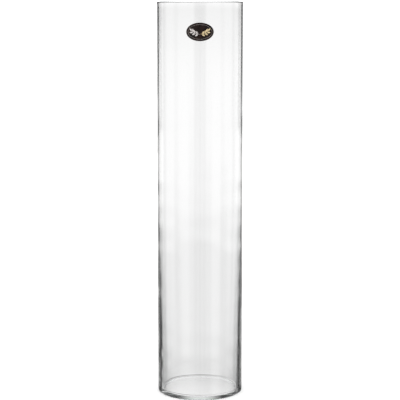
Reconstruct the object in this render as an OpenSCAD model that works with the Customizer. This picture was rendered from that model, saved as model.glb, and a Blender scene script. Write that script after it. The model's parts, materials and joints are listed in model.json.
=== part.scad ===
// Tall cylinder vase: one blown glass vessel with an oval foil-stamped label.
// Millimetres, +Z up. The origin is the centre of the foot, on the table.
// The label faces -Y.

/* [Vessel] */
// Height from the table to the top of the rim
vase_h = 600; // [500:10:700]
// Outside diameter
vase_d = 130; // [120:1:140]
// Radius of the rounded edge between the foot and the side
heel_r = 2; // [1:0.5:3]
// Radius of the fire-polished corners of the rim
rim_r = 1.3; // [0.8:0.1:1.4]

/* [Glass thickness] */
// Wall in the straight stretch below the rim
wall_mouth = 3; // [3:0.1:4]
// Wall where the glass was drawn thinnest
wall_thin = 2; // [1.6:0.1:2.8]
// Wall at the table, where the glass gathered
wall_foot = 7.4; // [5:0.1:9]
// How late the wall thickens on its way down: 1 is evenly, more is nearer the foot
foot_power = 1.6; // [1:0.1:2.5]
// Height of the thinnest wall, as a share of the vase's height
thin_at = 0.62; // [0.5:0.01:0.64]
// Length of the straight round bore below the rim
bore_len = 160; // [60:5:160]

/* [Floor] */
// Thickness of the floor at its edge
floor_t = 4; // [3.5:0.5:8]
// Rise of the floor's upper face from its edge to its centre
floor_rise = 1; // [0.5:0.1:2]
// Radius of the inside corner between the floor and the wall
corner_r = 4; // [2:0.5:10]
// Height of the hollow under the floor
punt_h = 0.6; // [0.2:0.1:1.5]
// Diameter at which the hollow under the floor meets the flat foot ring
punt_d = 114; // [90:1:114]

/* [Label] */
// Width of the label, measured around the glass
label_w = 41; // [40:0.5:46]
// Height of the label
label_h = 27; // [26.5:0.5:30]
// Distance from the rim down to the label's middle
label_drop = 43.3; // [30:0.1:80]
// Distance from the label's edge to its foil line
border_inset = 2.6; // [2:0.1:2.8]
// Width of the foil line
border_w = 0.3; // [0.2:0.05:0.5]
// Length of a stamped leaf
leaf_len = 5; // [3.5:0.1:5.2]
// Width of a stamped leaf
leaf_w = 2.6; // [1.6:0.1:2.7]

/* [Hidden] */

// Layers of the label, from the glass outwards
adhesive_t = 0.05;
film_t = 0.15;
foil_t = 0.05;

// Numbers of straight pieces that stand for a curve
round_steps = 180;
wall_steps = 24;
corner_steps = 8;
dome_steps = 8;
oval_steps = 72;
leaf_steps = 6;
stem_steps = 16;

outer_r = vase_d / 2;
bore_r = outer_r - wall_mouth;
bore_low = vase_h - rim_r - bore_len;
thin_z = vase_h * thin_at;
corner_top = floor_t + corner_r;
film_r = outer_r + adhesive_t;
foil_r = film_r + film_t;

// Goes smoothly from 0 to 1 as t goes from 0 to 1
function ease(t) = 0.5 - 0.5 * cos(180 * t);

// Thickness of the wall at height z: even in the bore, thinnest at thin_z, thickest at the foot
function wall_at(z) =
    z >= bore_low ? wall_mouth
    : z >= thin_z ? wall_thin + (wall_mouth - wall_thin) * ease((z - thin_z) / (bore_low - thin_z))
    : wall_thin + (wall_foot - wall_thin) * pow((thin_z - z) / thin_z, foot_power);

// Points on an arc about c, of radius r, from angle a to angle b
function arc(c, r, a, b, steps) =
    [for (i = [0:steps]) let (t = a + (b - a) * i / steps) c + r * [cos(t), sin(t)]];

// Half of the vessel's section, right of the axis, from the hollow underneath round to the floor
function section() =
    let (inner_foot_r = outer_r - wall_at(corner_top))
    concat(
        [for (i = [0:dome_steps]) let (t = i / dome_steps) [punt_d / 2 * t, punt_h * (1 - t * t)]],
        arc([outer_r - heel_r, heel_r], heel_r, -90, 0, corner_steps),
        arc([outer_r - rim_r, vase_h - rim_r], rim_r, 0, 90, corner_steps),
        arc([bore_r + rim_r, vase_h - rim_r], rim_r, 90, 180, corner_steps),
        [for (i = [0:wall_steps - 1])
            let (z = bore_low + (corner_top - bore_low) * i / wall_steps)
            [outer_r - wall_at(z), z]],
        arc([inner_foot_r - corner_r, corner_top], corner_r, 0, -90, corner_steps),
        [for (i = [1:dome_steps])
            let (t = 1 - i / dome_steps)
            [(inner_foot_r - corner_r) * t, floor_t + floor_rise * (1 - t * t)]]
    );

// Outline of the label, drawn in by inset from its edge, as seen from in front
module oval(inset) {
    a = label_w / 2 - inset;
    b = label_h / 2 - inset;
    polygon([for (i = [0:oval_steps - 1])
        let (t = 360 * i / oval_steps, around = a * cos(t) / outer_r * 180 / PI)
        [outer_r * sin(around), b * sin(t)]]);
}

// Bends a flat outline round the front of the glass, as a layer t thick from radius r
module on_glass(r, t) {
    intersection() {
        translate([0, 0, vase_h - label_drop])
            rotate([90, 0, 0])
            linear_extrude(height = outer_r * 2)
            children();
        translate([0, 0, vase_h - label_drop - label_h])
            difference() {
                cylinder(r = r + t, h = 2 * label_h, $fn = round_steps);
                cylinder(r = r, h = 2 * label_h, $fn = round_steps);
            }
    }
}

// Pointed oval leaf that grows along +X from the origin
module leaf() {
    function half(t) = leaf_w / 2 * sin(180 * pow(t, 0.85));
    polygon(concat(
        [for (i = [0:leaf_steps]) let (t = i / leaf_steps) [leaf_len * t, half(t)]],
        [for (i = [leaf_steps - 1:-1:1]) let (t = i / leaf_steps) [leaf_len * t, -half(t)]]
    ));
}

// Where the stem is at angle t, and the way it grows there
stem_reach = [12.4, 9];
stem_foot = [1.1, 5.9];
function stem_at(t) = [stem_foot.x + stem_reach.x * sin(t), stem_foot.y - stem_reach.y * cos(t)];
function stem_heading(t) = atan2(stem_reach.y * sin(t), stem_reach.x * cos(t));

// Sprig that rises to the right from the middle of the label: a stem, paired leaves and one at the tip
module sprig() {
    stem_half = 0.25;
    stem_end = 54;
    leaf_gap = 0.5;
    leaf_spread = 42;
    polygon(concat(
        [for (i = [0:stem_steps]) let (t = stem_end * i / stem_steps, h = stem_heading(t))
            stem_at(t) + stem_half * [sin(h), -cos(h)]],
        [for (i = [stem_steps:-1:0]) let (t = stem_end * i / stem_steps, h = stem_heading(t))
            stem_at(t) - stem_half * [sin(h), -cos(h)]]
    ));
    for (t = [8, 27, 45], side = [-1, 1])
        translate(stem_at(t))
            rotate(stem_heading(t) + side * leaf_spread)
            translate([leaf_gap, 0])
            leaf();
    translate(stem_at(stem_end + 3))
        rotate(stem_heading(stem_end + 3))
        leaf();
}

module glass_vessel() {
    color([0.88, 0.93, 0.92, 0.35])
        rotate_extrude($fn = round_steps)
        polygon(section());
}

module label_adhesive() {
    color([0.82, 0.80, 0.74])
        on_glass(outer_r, adhesive_t)
        oval(0);
}

module label_film() {
    color([0.07, 0.05, 0.045])
        on_glass(film_r, film_t)
        oval(0);
}

module label_border() {
    color([0.62, 0.60, 0.58])
        on_glass(foil_r, foil_t)
        difference() {
            oval(border_inset);
            oval(border_inset + border_w);
        }
}

module label_silver_sprig() {
    color([0.78, 0.75, 0.74])
        on_glass(foil_r, foil_t)
        mirror([1, 0])
        sprig();
}

module label_gold_sprig() {
    color([0.85, 0.70, 0.42])
        on_glass(foil_r, foil_t)
        sprig();
}

glass_vessel();
label_adhesive();
label_film();
label_border();
label_silver_sprig();
label_gold_sprig();
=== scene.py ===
"""Looks of a tall glass cylinder vase with an oval foil label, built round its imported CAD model.

Metres, +Z up. The vase stands on the floor at the origin, and its label faces -Y.
"""

import json
import math

import bmesh
import bpy
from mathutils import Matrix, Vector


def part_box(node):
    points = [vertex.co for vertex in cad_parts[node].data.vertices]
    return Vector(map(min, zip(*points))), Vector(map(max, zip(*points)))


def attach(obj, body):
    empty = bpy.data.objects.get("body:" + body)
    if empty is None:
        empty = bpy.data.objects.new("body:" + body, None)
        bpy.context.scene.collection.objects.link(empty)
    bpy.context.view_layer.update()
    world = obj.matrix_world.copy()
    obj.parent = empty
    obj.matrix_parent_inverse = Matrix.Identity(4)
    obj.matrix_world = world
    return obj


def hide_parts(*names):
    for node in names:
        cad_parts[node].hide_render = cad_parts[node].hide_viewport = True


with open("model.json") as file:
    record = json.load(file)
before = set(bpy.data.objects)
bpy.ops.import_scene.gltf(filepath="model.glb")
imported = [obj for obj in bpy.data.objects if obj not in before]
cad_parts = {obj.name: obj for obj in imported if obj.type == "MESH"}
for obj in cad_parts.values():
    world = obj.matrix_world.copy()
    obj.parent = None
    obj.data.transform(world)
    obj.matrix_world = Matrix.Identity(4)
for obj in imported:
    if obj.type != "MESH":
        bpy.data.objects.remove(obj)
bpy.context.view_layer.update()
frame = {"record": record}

MM = 0.001

# ---------------------------------------------------------------- sizes, from the frame

film_low, film_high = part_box("label_film")
mouth = next(m for m in frame["record"]["mounts"] if m["name"] == "mouth")

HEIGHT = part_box("glass_vessel")[1].z
BORE_R = mouth["dims"]["r_mm"] * MM
BORE_LEN = mouth["dims"]["length_mm"] * MM

# ---------------------------------------------------------------- the glass, as in the CAD section

WALL_MOUTH = 3.0 * MM
WALL_THIN = 2.0 * MM
WALL_FOOT = 7.4 * MM
FOOT_POWER = 1.6
THIN_AT = 0.62
RIM_R = 1.3 * MM
HEEL_R = 2.0 * MM
FLOOR_T = 4.0 * MM
FLOOR_RISE = 1.0 * MM
CORNER_R = 4.0 * MM
PUNT_H = 0.6 * MM
PUNT_R = 57.0 * MM

OUTER_R = BORE_R + WALL_MOUTH
THIN_Z = HEIGHT * THIN_AT
RIM_Z = HEIGHT - RIM_R
BORE_LOW = RIM_Z - BORE_LEN
CORNER_TOP = FLOOR_T + CORNER_R

# Steps round the vase, and along each stretch of its section
TURN_STEPS = 256
DOME_STEPS = 24
HEEL_STEPS = 12
OUTSIDE_STEPS = 60
RIM_STEPS = 10
INSIDE_STEPS = 150
CORNER_STEPS = 20

# The blown inside of the wall wanders from its section by a sum of ripples, which fades out at both ends.
# Each ripple is (share of WAVE, radians to the metre of height, start, sway of that start round the wall,
# sways in a turn, where the sway starts).
WAVE = 0.07 * MM
WAVE_FADE = 30.0 * MM
RIPPLES = ((1.0, 95, 0.0, 1.2, 2, 0.7), (0.7, 171, 2.1, 0.9, 3, 0.0))


def ease(t):
    """Goes smoothly from 0 to 1 as t goes from 0 to 1."""
    t = min(max(t, 0.0), 1.0)
    return 0.5 - 0.5 * math.cos(math.pi * t)


def wall_at(z):
    """Thickness of the wall at height z."""
    if z >= BORE_LOW:
        return WALL_MOUTH
    if z >= THIN_Z:
        return WALL_THIN + (WALL_MOUTH - WALL_THIN) * ease((z - THIN_Z) / (BORE_LOW - THIN_Z))
    return WALL_THIN + (WALL_FOOT - WALL_THIN) * ((THIN_Z - z) / THIN_Z) ** FOOT_POWER


def turned(steps):
    """Angles all the way round, in even steps."""
    return [2 * math.pi * i / steps for i in range(steps)]


def arc(centre, radius, start, end, steps):
    """Points on an arc about a centre, from angle start to end, in degrees."""
    angles = [math.radians(start + (end - start) * i / steps) for i in range(steps + 1)]
    return [(centre[0] + radius * math.cos(a), centre[1] + radius * math.sin(a)) for a in angles]


def vessel_section():
    """The vessel's section as (r, z), from the underside's centre round the outside to the floor's centre."""
    outwards = [i / DOME_STEPS for i in range(DOME_STEPS + 1)]
    outside = [HEEL_R + (RIM_Z - HEEL_R) * i / OUTSIDE_STEPS for i in range(1, OUTSIDE_STEPS)]
    inside = [RIM_Z + (CORNER_TOP - RIM_Z) * i / INSIDE_STEPS for i in range(1, INSIDE_STEPS)]
    floor_r = OUTER_R - wall_at(CORNER_TOP) - CORNER_R
    points = [(PUNT_R * t, PUNT_H * (1 - t ** 2)) for t in outwards]
    points += arc((OUTER_R - HEEL_R, HEEL_R), HEEL_R, -90, 0, HEEL_STEPS)
    points += [(OUTER_R, z) for z in outside]
    points += arc((OUTER_R - RIM_R, RIM_Z), RIM_R, 0, 90, RIM_STEPS)
    points += arc((BORE_R + RIM_R, RIM_Z), RIM_R, 90, 180, RIM_STEPS)
    points += [(OUTER_R - wall_at(z), z) for z in inside]
    points += arc((floor_r, CORNER_TOP), CORNER_R, 0, -90, CORNER_STEPS)
    points += [(floor_r * t, FLOOR_T + FLOOR_RISE * (1 - t ** 2)) for t in outwards[-2::-1]]
    return points


def blown(r, z, turn):
    """Radius of the glass at height z and angle turn, where the section has r."""
    if r > OUTER_R - WALL_THIN / 2 or z < CORNER_TOP or z > BORE_LOW:
        return r
    swell = 0.0
    for share, rate, start, sway, sways, sway_start in RIPPLES:
        swell += share * math.sin(z * rate + start + sway * math.sin(sways * turn + sway_start))
    return r + WAVE * ease((z - CORNER_TOP) / WAVE_FADE) * ease((BORE_LOW - z) / WAVE_FADE) * swell


# ---------------------------------------------------------------- mesh tools


def skin(rings, tips=None):
    """A closed skin over rings of points, one after another, as (points, faces). It ends in the two tips, or
    its last ring joins its first."""
    count = len(rings[0])
    points = [point for ring in rings for point in ring]
    faces = []
    for k in range(len(rings) - 1 if tips else len(rings)):
        low, high = k * count, (k + 1) % len(rings) * count
        for i in range(count):
            j = (i + 1) % count
            faces.append((low + i, low + j, high + j, high + i))
    if tips:
        first, last, end = len(points), len(points) + 1, (len(rings) - 1) * count
        points += tips
        for i in range(count):
            j = (i + 1) % count
            faces.append((first, j, i))
            faces.append((last, end + i, end + j))
    return points, faces


def new_object(name, parts, smooth=True):
    """A mesh object with outward faces, made of one or more (points, faces), linked into the scene."""
    points, faces = [], []
    for part_points, part_faces in parts:
        faces += [tuple(i + len(points) for i in face) for face in part_faces]
        points += part_points
    mesh = bpy.data.meshes.new(name)
    mesh.from_pydata(points, [], faces)
    work = bmesh.new()
    work.from_mesh(mesh)
    bmesh.ops.recalc_face_normals(work, faces=work.faces)
    work.to_mesh(mesh)
    work.free()
    for polygon in mesh.polygons:
        polygon.use_smooth = smooth
    obj = bpy.data.objects.new(name, mesh)
    bpy.context.scene.collection.objects.link(obj)
    return obj


def make_vessel():
    """The vase, turned from its section. The section's first and last points lie on the axis."""
    section = vessel_section()
    turns = turned(TURN_STEPS)
    rings = []
    for r, z in section[1:-1]:
        radii = [blown(r, z, a) for a in turns]
        rings.append([(radius * math.cos(a), radius * math.sin(a), z) for radius, a in zip(radii, turns)])
    return new_object("vase_glass", [skin(rings, [(0, 0, section[0][1]), (0, 0, section[-1][1])])])


# ---------------------------------------------------------------- the label, as in the CAD outlines

LABEL_Z = (film_low.z + film_high.z) / 2
LABEL_HALF_H = (film_high.z - film_low.z) / 2
LABEL_HALF_W = OUTER_R * math.asin(film_high.x / OUTER_R)
OVAL_STEPS = 144

# Lifts of the label's layers off the glass. The glue wets the glass, so its back is just inside it.
GLUE_LIFT = (-0.03 * MM, 0.05 * MM)
FILM_LIFT = 0.20 * MM
FOIL_SINK = 0.01 * MM

# The film's edge and its low pressed rim, as (distance in from the edge, lift), in millimetres
FILM_EDGE = (
    (0.0, 0.05), (0.0, 0.13), (0.03, 0.17), (0.09, 0.19), (0.2, 0.2), (0.5, 0.225), (1.0, 0.235),
    (1.5, 0.225), (1.8, 0.205), (2.0, 0.2), (2.5, 0.2), (3.0, 0.2),
)
FIELD_INSET = 3.0 * MM
FIELD_RINGS = 14

# The foil line: how far its middle is from the label's edge, and its half-round section
LINE_INSET = 2.75 * MM
LINE_HALF = 0.15 * MM
LINE_RISE = 0.05 * MM
LINE_FOOT = 0.9
LINE_STEPS = 6

# A leaf's outline, swell, crease and side veins. LEAF_SHAPE under 1 puts its widest place nearer to its root.
LEAF_LEN = 5.0 * MM
LEAF_HALF = 1.3 * MM
LEAF_SHAPE = 0.85
LEAF_ROWS = 16
LEAF_COLUMNS = 8
SWELL_RISE = 0.16 * MM
SWELL_ACROSS = 0.6
SWELL_ALONG = 0.5
CREASE_DEPTH = 0.55
CREASE_HALF = 0.22
VEINS = 5
VEIN_DEPTH = 0.16
VEIN_SLANT = 0.9

# A sprig: its stem follows an oval with this middle and these half-axes. Places along it are in degrees of
# that oval from its lowest point, and STEM_TAPER is the stem's thickness at its foot and its tip.
STEM_MIDDLE = (1.1 * MM, 5.9 * MM)
STEM_REACH = (12.4 * MM, 9.0 * MM)
STEM_END = 54
STEM_TIPS = (-1, STEM_END + 2)
STEM_STEPS = 24
STEM_HALF = 0.25 * MM
STEM_TAPER = (1.25, 0.75)
STEM_RISE = 0.55
LEAVES_AT = (8, 27, 45)
TIP_LEAF_AT = STEM_END + 3
LEAF_GAP = 0.5 * MM
LEAF_SPREAD = 42


def on_glass(across, up, lift):
    """The place at a lift off the outside of the glass, across and up from the label's middle."""
    x = OUTER_R * math.sin(across / OUTER_R)
    return (x, -math.sqrt((OUTER_R + lift) ** 2 - x ** 2), LABEL_Z + up)


def oval(half_w, half_h, lift):
    """A ring of places on an oval."""
    return [on_glass(half_w * math.cos(a), half_h * math.sin(a), lift) for a in turned(OVAL_STEPS)]


def field(lift, inset, outwards):
    """Rings that fill the oval at an inset, from the middle outwards or the other way."""
    shares = [(i + 0.5) / FIELD_RINGS for i in range(FIELD_RINGS)]
    rings = [oval((LABEL_HALF_W - inset) * k, (LABEL_HALF_H - inset) * k, lift) for k in shares]
    return rings if outwards else rings[::-1]


def make_glue():
    """The glue, an even layer between the glass and the film."""
    rings = field(GLUE_LIFT[0], 0, True)
    rings += [oval(LABEL_HALF_W, LABEL_HALF_H, lift) for lift in GLUE_LIFT]
    rings += field(GLUE_LIFT[1], 0, False)
    tips = [on_glass(0, 0, lift) for lift in GLUE_LIFT]
    return new_object("label_glue_layer", [skin(rings, tips)])


def make_film():
    """The film, with its rounded edge and its low pressed rim."""
    edge = [(inset * MM, lift * MM) for inset, lift in FILM_EDGE]
    rings = field(GLUE_LIFT[1], 0, True)
    rings += [oval(LABEL_HALF_W - inset, LABEL_HALF_H - inset, lift) for inset, lift in edge]
    rings += field(FILM_LIFT, FIELD_INSET, False)
    tips = [on_glass(0, 0, lift) for lift in (GLUE_LIFT[1], FILM_LIFT)]
    return new_object("label_film_sheet", [skin(rings, tips)])


def make_line():
    """The foil line, a low half-round bead that runs round the label."""
    section = arc((0.0, 0.0), 1.0, 0, 180, LINE_STEPS)
    section = [(LINE_HALF * out, FILM_LIFT + LINE_RISE * rise) for out, rise in section]
    section += [(side * LINE_HALF * LINE_FOOT, FILM_LIFT - FOIL_SINK) for side in (-1, 1)]
    half_w, half_h = LABEL_HALF_W - LINE_INSET, LABEL_HALF_H - LINE_INSET
    rings = []
    for a in turned(OVAL_STEPS):
        c, s = math.cos(a), math.sin(a)
        rings.append([on_glass((half_w + out) * c, (half_h + out) * s, lift) for out, lift in section])
    return new_object("label_foil_line", [skin(rings)])


def stem_at(degrees):
    """Where the stem is, across and up from the label's middle, and the way it grows there, in radians."""
    a = math.radians(degrees)
    place = (STEM_MIDDLE[0] + STEM_REACH[0] * math.sin(a), STEM_MIDDLE[1] - STEM_REACH[1] * math.cos(a))
    return place, math.atan2(STEM_REACH[1] * math.sin(a), STEM_REACH[0] * math.cos(a))


def leaf(root, heading, mirror):
    """A pressed leaf: two swelling halves, a crease between them and faint side veins."""

    def place(along, aside, rise):
        c, s = math.cos(heading), math.sin(heading)
        across = root[0] + (LEAF_GAP + along) * c - aside * s
        return on_glass(mirror * across, root[1] + (LEAF_GAP + along) * s + aside * c, FILM_LIFT + rise)

    rings = []
    for i in range(1, LEAF_ROWS):
        t = i / LEAF_ROWS
        half = LEAF_HALF * math.sin(math.pi * t ** LEAF_SHAPE)
        ring = []
        for j in range(LEAF_COLUMNS + 1):
            side = 2 * j / LEAF_COLUMNS - 1
            crease = 1 - CREASE_DEPTH * math.exp(-(side / CREASE_HALF) ** 2)
            vein = 1 + VEIN_DEPTH * math.cos(2 * math.pi * (VEINS * t - VEIN_SLANT * abs(side)))
            swell = (1 - side ** 2) ** SWELL_ACROSS * math.sin(math.pi * t) ** SWELL_ALONG
            ring.append(place(LEAF_LEN * t, half * side, SWELL_RISE * swell * crease * vein))
        back = [half * (1 - 2 * j / LEAF_COLUMNS) for j in range(1, LEAF_COLUMNS)]
        ring += [place(LEAF_LEN * t, aside, -FOIL_SINK) for aside in back]
        rings.append(ring)
    return skin(rings, [place(0, 0, 0), place(LEAF_LEN, 0, 0)])


def stem(mirror):
    """The stem, a half-round bead that thins towards its tip."""
    thick, thin = STEM_TAPER
    rings = []
    for i in range(STEM_STEPS + 1):
        (across, up), heading = stem_at(STEM_END * i / STEM_STEPS)
        half = STEM_HALF * (thick + (thin - thick) * i / STEM_STEPS)
        ring = []
        for turn in range(0, 360, 45):
            a = math.radians(turn)
            aside, rise = half * math.cos(a), max(half * STEM_RISE * math.sin(a), -FOIL_SINK)
            x, z = mirror * (across - aside * math.sin(heading)), up + aside * math.cos(heading)
            ring.append(on_glass(x, z, FILM_LIFT + rise))
        rings.append(ring)
    ends = [stem_at(degrees)[0] for degrees in STEM_TIPS]
    return skin(rings, [on_glass(mirror * across, up, FILM_LIFT) for across, up in ends])


def make_sprig(name, mirror):
    """A sprig of leaf pairs and a tip leaf. It rises to the right, or to the left where mirror is -1."""
    parts = [stem(mirror)]
    for degrees in LEAVES_AT:
        root, heading = stem_at(degrees)
        parts += [leaf(root, heading + math.radians(side * LEAF_SPREAD), mirror) for side in (-1, 1)]
    root, heading = stem_at(TIP_LEAF_AT)
    parts.append(leaf(root, heading, mirror))
    return new_object(name, parts)


# ---------------------------------------------------------------- materials

CLEAR = (1, 1, 1, 1)
GLASS_IOR = 1.5
GLASS_TINT = (0.62, 0.66, 0.65, 1)
GLASS_DENSITY = 4.0

# The foot ring is scuffed up to the first of these heights, and less and less from there to the second
SCUFF_LOW = 0.1 * MM
SCUFF_HIGH = 1.2 * MM

# Each material's colours, from one end of its variation to the other
FILM_COLOURS = ((0.004, 0.0022, 0.002), (0.018, 0.0078, 0.006))
GLUE_COLOURS = ((0.66, 0.63, 0.57), (0.86, 0.84, 0.79))
SILVER_COLOURS = ((0.80, 0.75, 0.73), (0.56, 0.51, 0.49))
DULL_SILVER_COLOURS = ((0.42, 0.39, 0.38), (0.20, 0.18, 0.17))
GOLD_COLOURS = ((0.90, 0.73, 0.44), (0.66, 0.48, 0.25))
TABLE_COLOURS = ((0.93, 0.93, 0.93), (0.94, 0.94, 0.94))


def add(tree, kind, inputs=(), **settings):
    """A new shader node. inputs gives a socket, by name or number, its value or the socket that feeds it."""
    node = tree.nodes.new("ShaderNode" + kind)
    for name, value in settings.items():
        setattr(node, name, value)
    for name, value in dict(inputs).items():
        if isinstance(value, bpy.types.NodeSocket):
            tree.links.new(value, node.inputs[name])
        else:
            node.inputs[name].default_value = value
    return node


def principled(name, **values):
    """A new node material, its Principled shader and its tree. values name sockets, with _ for a space."""
    mat = bpy.data.materials.new(name)
    mat.use_nodes = True
    shader = mat.node_tree.nodes["Principled BSDF"]
    for socket, value in values.items():
        shader.inputs[socket.replace("_", " ")].default_value = value
    return mat, shader, mat.node_tree


def maths(tree, operation, *values):
    """A Math node on numbers or sockets."""
    return add(tree, "Math", enumerate(values), operation=operation).outputs[0]


def noise(tree, spots, detail=2.0, squeeze=(1, 1, 1)):
    """Noise from 0 to 1, with so many spots to the metre, and squeeze times as many along each axis."""
    place = add(tree, "TexCoord").outputs["Object"]
    mapped = add(tree, "Mapping", {"Vector": place, "Scale": squeeze}).outputs[0]
    return add(tree, "TexNoise", {"Vector": mapped, "Scale": spots, "Detail": detail}).outputs["Fac"]


def ranged(tree, value, low, high, start=0.3, end=0.7):
    """Goes smoothly from low, where value is start, to high, where it is end."""
    inputs = {"Value": value, "From Min": start, "From Max": end, "To Min": low, "To Max": high}
    return add(tree, "MapRange", inputs, interpolation_type="SMOOTHSTEP").outputs["Result"]


def blend(tree, share, colours):
    """The first of two colours where share is 0, and the second where it is 1."""
    first, second = colours
    return add(tree, "Mix", {0: share, 6: (*first, 1), 7: (*second, 1)}, data_type="RGBA").outputs[2]


def feed(tree, shader, **sources):
    """Links each source to the shader's socket of that name, with _ for a space."""
    for socket, source in sources.items():
        tree.links.new(source, shader.inputs[socket.replace("_", " ")])


def bump(tree, height, distance):
    """A normal for a surface that height, from 0 to 1, roughens by distance."""
    return add(tree, "Bump", {"Height": height, "Distance": distance}).outputs[0]


def glass_material():
    """Clear glass with a grey-green cast in its depth, faint draw marks and a scuffed foot ring."""
    mat, shader, tree = principled("clear_blown_glass", Base_Color=CLEAR, IOR=GLASS_IOR,
                                   Transmission_Weight=1.0)
    height = add(tree, "SeparateXYZ", {0: add(tree, "TexCoord").outputs["Object"]}).outputs["Z"]
    near_table = ranged(tree, height, 1, 0, start=SCUFF_LOW, end=SCUFF_HIGH)
    scuffs = ranged(tree, noise(tree, 900, detail=4.0), 0, 0.08, start=0.55, end=0.7)
    draw_marks = bump(tree, noise(tree, 34, detail=1.0, squeeze=(1, 1, 0.3)), 0.12 * MM)
    feed(tree, shader, Roughness=maths(tree, "MULTIPLY", near_table, scuffs), Normal=draw_marks)
    volume = add(tree, "VolumeAbsorption", {"Color": GLASS_TINT, "Density": GLASS_DENSITY})
    tree.links.new(volume.outputs["Volume"], tree.nodes["Material Output"].inputs["Volume"])
    return mat


def film_material():
    """Glossy brown-black film with a faint cast, a fine grain and dull patches from handling."""
    mat, shader, tree = principled("brown_black_film", IOR=1.5, Specular_IOR_Level=0.2)
    cast = blend(tree, ranged(tree, noise(tree, 90, detail=3.0), 0, 1), FILM_COLOURS)
    handled = ranged(tree, noise(tree, 260, detail=4.0), 0.2, 0.42)
    grain = bump(tree, noise(tree, 1500, detail=3.0), 0.02 * MM)
    feed(tree, shader, Base_Color=cast, Roughness=handled, Normal=grain)
    return mat


def foil_material(name, colours):
    """Stamped metal foil: brushed fine, and rubbed duller here and there."""
    mat, shader, tree = principled(name, Metallic=0.7, IOR=1.5)
    rubbed = blend(tree, ranged(tree, noise(tree, 420, detail=4.0), 0, 1, start=0.45, end=0.75), colours)
    worn = ranged(tree, noise(tree, 700, detail=3.0), 0.28, 0.5)
    brushed = bump(tree, noise(tree, 2600, squeeze=(1, 1, 0.15)), 0.02 * MM)
    feed(tree, shader, Base_Color=rubbed, Roughness=worn, Normal=brushed)
    return mat


def glue_material():
    """Milky glue with paler patches where air stayed under it."""
    mat, shader, tree = principled("milky_glue", IOR=1.48)
    bubbles = ranged(tree, noise(tree, 520, detail=4.0), 0, 1, start=0.52, end=0.66)
    rough = ranged(tree, noise(tree, 300, detail=3.0), 0.45, 0.7)
    colour = blend(tree, bubbles, GLUE_COLOURS)
    feed(tree, shader, Base_Color=colour, Roughness=rough, Normal=bump(tree, bubbles, 0.03 * MM))
    return mat


def finish_piece(piece, material, node):
    """Puts the material on a piece that stands for a CAD node."""
    piece.data.materials.append(material)
    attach(piece, "root")
    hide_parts(node)


silver = foil_material("bright_silver_foil", SILVER_COLOURS)
dull_silver = foil_material("dull_silver_foil", DULL_SILVER_COLOURS)
gold = foil_material("pale_gold_foil", GOLD_COLOURS)
finish_piece(make_vessel(), glass_material(), "glass_vessel")
finish_piece(make_glue(), glue_material(), "label_adhesive")
finish_piece(make_film(), film_material(), "label_film")
finish_piece(make_line(), dull_silver, "label_border")
finish_piece(make_sprig("silver_sprig", -1), silver, "label_silver_sprig")
finish_piece(make_sprig("gold_sprig", 1), gold, "label_gold_sprig")

# ---------------------------------------------------------------- table, light and camera

TABLE_R = 4.0
TABLE_STEPS = 96

# Directions are (azimuth, elevation) in degrees: azimuth 0 is straight behind the vase, 90 to its right.
# Each light panel and each black flag is (centre, size, softness of its edges, strength).
PANELS = (
    ((0, 11), (29, 46), (12, 3), 0.88),            # backdrop
    ((0, -6), (30, 21), (12, 9), 1.0),             # brightest low down
    ((0, -7.5), (68, 6.5), (12, 2), 0.64),         # strip of light where it meets the table
    ((0, -12.5), (34, 18), (18, 7.5), 0.89),       # its glow on the table
    ((-50, -5.5), (32, 11.5), (6, 3.5), 1.24),     # bright strips either side of the backdrop
    ((50, -5.5), (32, 11.5), (6, 3.5), 1.24),
    ((-118, -5.5), (124, 11.5), (6, 3.5), 0.98),   # softboxes on the left and right
    ((118, -5.5), (124, 11.5), (6, 3.5), 0.98),
    ((-110, 3), (130, 16), (8, 4), 0.97),          # their upper halves
    ((110, 3), (130, 16), (8, 4), 0.97),
    ((-114, -15), (130, 15.5), (4.5, 3.5), 0.98),  # their glow on the table
    ((114, -15), (130, 15.5), (4.5, 3.5), 0.98),
    ((135, -24), (76, 12), (8, 3), 0.9),           # card on the table, in front on the right
    ((-47, -24.4), (22, 12), (6, 1.5), 0.8),       # card on the table, behind on the left
    ((0, -60), (360, 74), (8, 4.5), 0.82),         # white table
    ((0, 63), (360, 61), (8, 10), 0.95),           # overhead softbox
)
FLAGS = (
    ((180, -5), (32, 32), (5, 6), 0.55),           # the camera
    ((-12, -28), (20, 14), (5, 3), 0.85),          # dark edges for the view from the right, above
    ((-78, -27), (20, 14), (5, 3), 0.85),
    ((111, -17), (22, 18), (6, 3), 0.6),           # the same from behind
    ((159, -16), (22, 22), (6, 4), 0.75),
    ((-68, -3), (14, 22), (5, 4), 0.6),            # the same from the side
    ((-112, -3), (14, 22), (5, 4), 0.45),
)

# Strength of the light from all other directions, and of the white that the camera and matt surfaces see
ROOM = 0.03
WHITE_GROUND = 1.6

# The camera's place, its tilt down from level in radians, its lens in millimetres and what it can reach
CAMERA_AT = (0.0, -2.175, 0.621)
CAMERA_TILT = 0.1472
LENS = 129.0
SENSOR_W = 36.0
CLIP = (0.05, 50.0)

# Light passes many faces of glass on its way through the thick foot
GLASS_BOUNCES = 28
MAX_BOUNCES = 32


def make_floor():
    """A wide pale table. Sight through the glass passes it by and meets the white of the world beneath."""
    disc = [(TABLE_R * math.cos(a), TABLE_R * math.sin(a), 0) for a in turned(TABLE_STEPS)]
    floor = new_object("floor", [(disc, [tuple(range(TABLE_STEPS))])], smooth=False)
    mat, shader, tree = principled("pale_floor", Roughness=0.9, Specular_IOR_Level=0.1)
    feed(tree, shader, Base_Color=blend(tree, noise(tree, 3), TABLE_COLOURS))
    floor.data.materials.append(mat)
    floor.visible_transmission = False
    floor.visible_glossy = False


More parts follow.
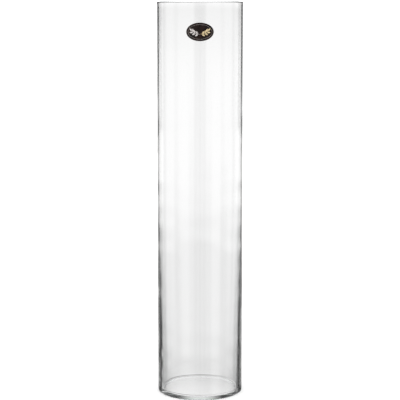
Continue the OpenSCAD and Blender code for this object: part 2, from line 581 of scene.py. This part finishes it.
def sky_patch(tree, azimuth, elevation, centre, size, soft):
    """1 inside a soft-edged patch of sky and 0 outside it, by direction."""
    across = maths(tree, "PINGPONG", maths(tree, "SUBTRACT", azimuth, centre[0]), 180)
    up = maths(tree, "ABSOLUTE", maths(tree, "SUBTRACT", elevation, centre[1]))
    inside = [ranged(tree, value, 0, 1, start=whole / 2 + edge, end=whole / 2 - edge)
              for value, whole, edge in zip((across, up), size, soft)]
    return maths(tree, "MULTIPLY", *inside)


def make_world():
    """A studio of light panels and black flags for the glass. The camera and matt surfaces see even white."""
    world = bpy.data.worlds.new("studio")
    bpy.context.scene.world = world
    world.use_nodes = True
    world.cycles.sampling_method = "NONE"
    tree = world.node_tree
    coords = add(tree, "TexCoord").outputs["Generated"]
    x, y, z = add(tree, "SeparateXYZ", {0: coords}).outputs
    azimuth = maths(tree, "DEGREES", maths(tree, "ARCTAN2", x, y))
    elevation = maths(tree, "DEGREES", maths(tree, "ARCSINE", z))
    light = ROOM
    for centre, size, soft, strength in PANELS:
        patch = sky_patch(tree, azimuth, elevation, centre, size, soft)
        light = maths(tree, "MAXIMUM", light, maths(tree, "MULTIPLY", patch, strength))
    for centre, size, soft, strength in FLAGS:
        patch = sky_patch(tree, azimuth, elevation, centre, size, soft)
        kept = maths(tree, "SUBTRACT", 1, maths(tree, "MULTIPLY", patch, strength))
        light = maths(tree, "MULTIPLY", light, kept)
    path = add(tree, "LightPath").outputs
    direct = maths(tree, "MAXIMUM", path["Is Camera Ray"], path["Is Diffuse Ray"])
    inputs = {"Factor": direct, "A": light, "B": WHITE_GROUND}
    seen = add(tree, "Mix", inputs, data_type="FLOAT").outputs["Result"]
    background = tree.nodes["Background"]
    background.inputs["Color"].default_value = (1, 1, 1, 1)
    tree.links.new(seen, background.inputs["Strength"])


def make_camera():
    """A long lens in front of the vase, a little higher than its rim, that looks slightly down."""
    data = bpy.data.cameras.new("camera")
    data.sensor_width = SENSOR_W
    data.lens = LENS
    data.clip_start, data.clip_end = CLIP
    camera = bpy.data.objects.new("camera", data)
    bpy.context.scene.collection.objects.link(camera)
    camera.location = CAMERA_AT
    camera.rotation_euler = (math.pi / 2 - CAMERA_TILT, 0.0, 0.0)
    bpy.context.scene.camera = camera


make_floor()
make_world()
make_camera()
bpy.context.scene.view_settings.view_transform = "Standard"
bpy.context.scene.cycles.max_bounces = MAX_BOUNCES
bpy.context.scene.cycles.glossy_bounces = GLASS_BOUNCES
bpy.context.scene.cycles.transmission_bounces = GLASS_BOUNCES
bpy.context.view_layer.update()
